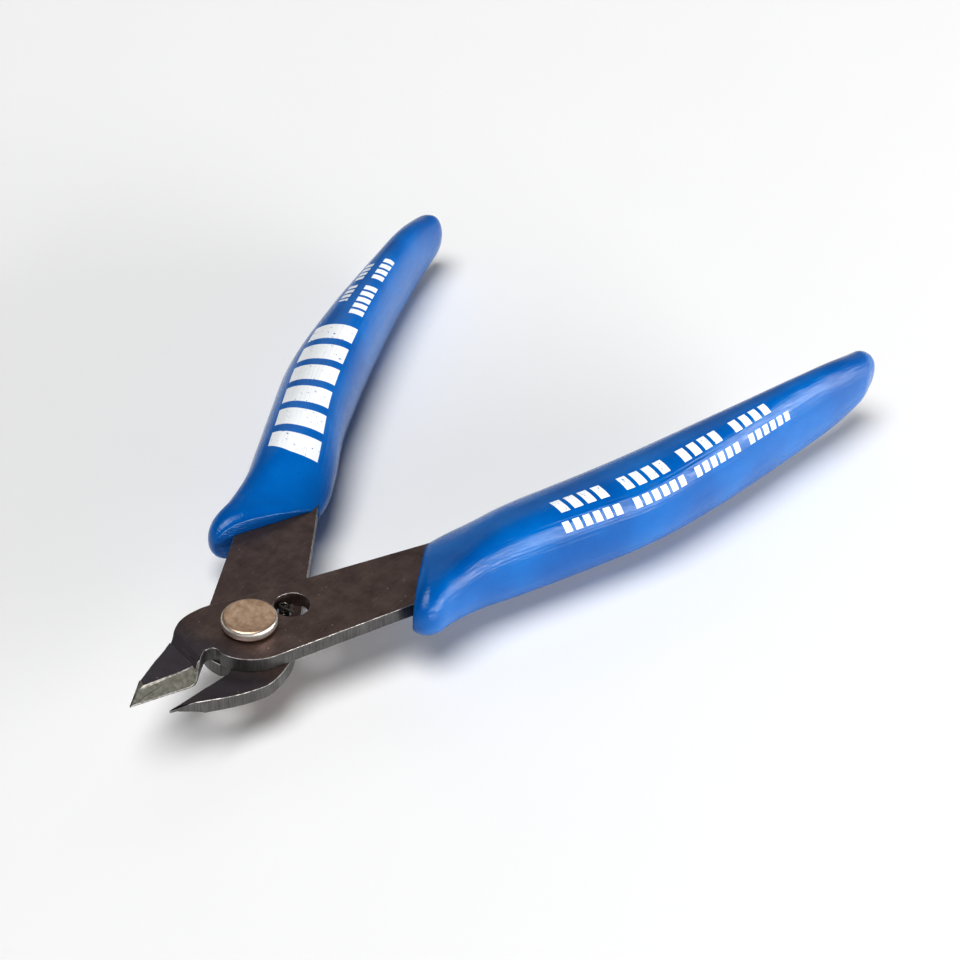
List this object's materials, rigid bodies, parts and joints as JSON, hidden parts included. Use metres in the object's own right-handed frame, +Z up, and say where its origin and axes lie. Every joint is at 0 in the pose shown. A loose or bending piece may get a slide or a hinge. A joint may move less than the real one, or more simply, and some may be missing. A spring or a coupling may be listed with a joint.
{
  "type": "flush cutter",
  "caption": "Small shear-type flush cutter with bent-up jaws, one pivot rivet, a coil return spring and curved blue sleeve grips, lying open.",
  "frame": {"origin": "centre of the bounding box in plan, at the lowest line of the lower grip", "axes": "+Z up out of the blade plates, +Y from the pivot towards the handles, jaws at -Y, +X towards the upper half's handle"},
  "size_m": [0.0858, 0.1288, 0.0166],
  "materials": {
    "blade_steel": "black oxide, brushed, with bare ground cutting bevels",
    "rivet_steel": "satin warm nickel",
    "spring_steel": "drawn wire",
    "grip_vinyl": "glossy moulded vinyl"
  },
  "bodies": {
    "lower_half": {"lower_blade": "blade_steel", "lower_grip": "grip_vinyl", "pivot_rivet": "rivet_steel", "return_spring": "spring_steel"},
    "upper_half": {"upper_blade": "blade_steel", "upper_grip": "grip_vinyl"}
  },
  "joints": [
    {"name": "blade_pivot", "type": "hinge", "parent": "lower_half", "child": "upper_half", "pos_m": [0, -0.0425, 0.00831], "axis": [0, 0, 1], "range_deg": [0, 11], "stiffness_Nm_per_rad": 0.3, "springref_deg": -5.73, "deforming": ["return_spring"]}
  ]
}
